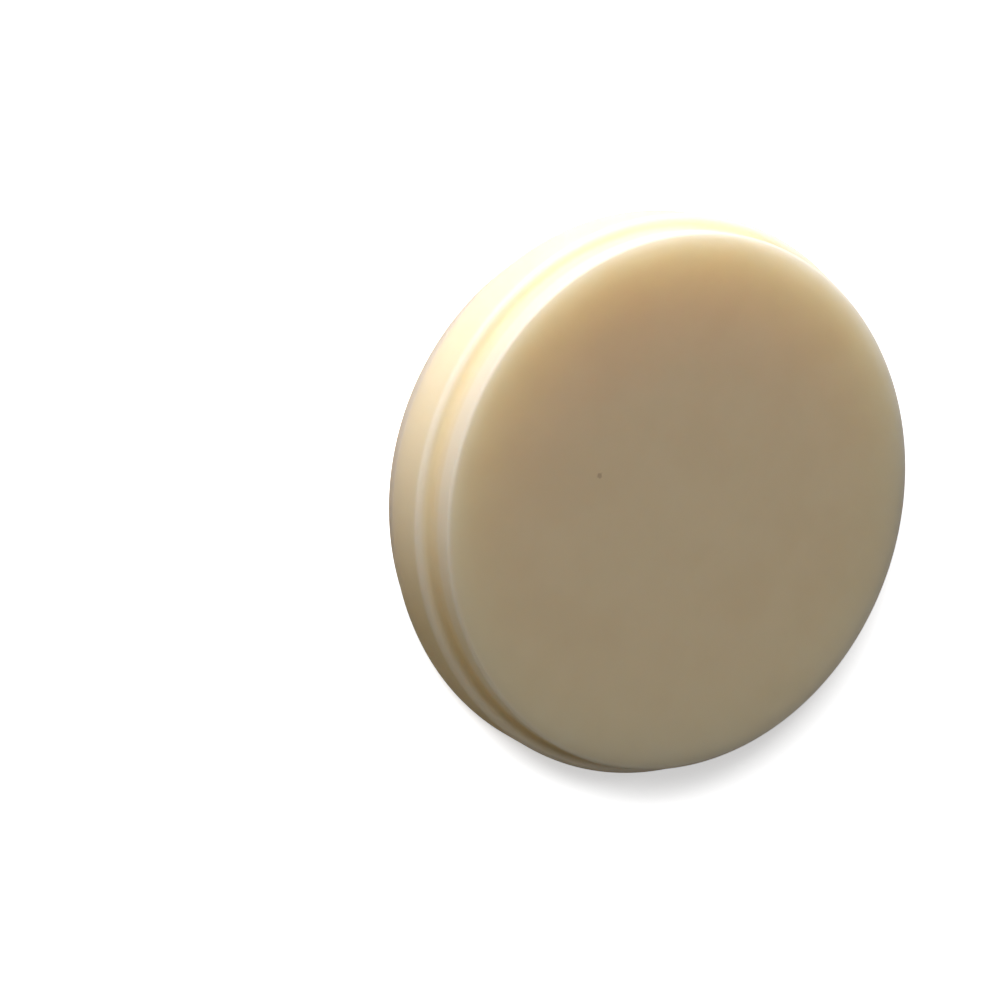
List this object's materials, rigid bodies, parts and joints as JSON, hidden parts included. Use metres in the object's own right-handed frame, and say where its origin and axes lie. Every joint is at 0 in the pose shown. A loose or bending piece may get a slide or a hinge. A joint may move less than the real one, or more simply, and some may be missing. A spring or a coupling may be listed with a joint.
{
  "type": "dental milling disc",
  "caption": "Stepped round blank with a wider clamping flange round its middle, from which dental crowns and bridges are milled.",
  "frame": {"origin": "centre of the lower end face, on the disc's axis", "axes": "+Z along the disc's axis, from the lower end face to the upper end face; X and Y lie across the disc and are alike"},
  "size_m": [0.0984, 0.0984, 0.022],
  "materials": {
    "disc_resin": "satin"
  },
  "bodies": {
    "root": {"disc_blank": "disc_resin"}
  },
  "joints": []
}
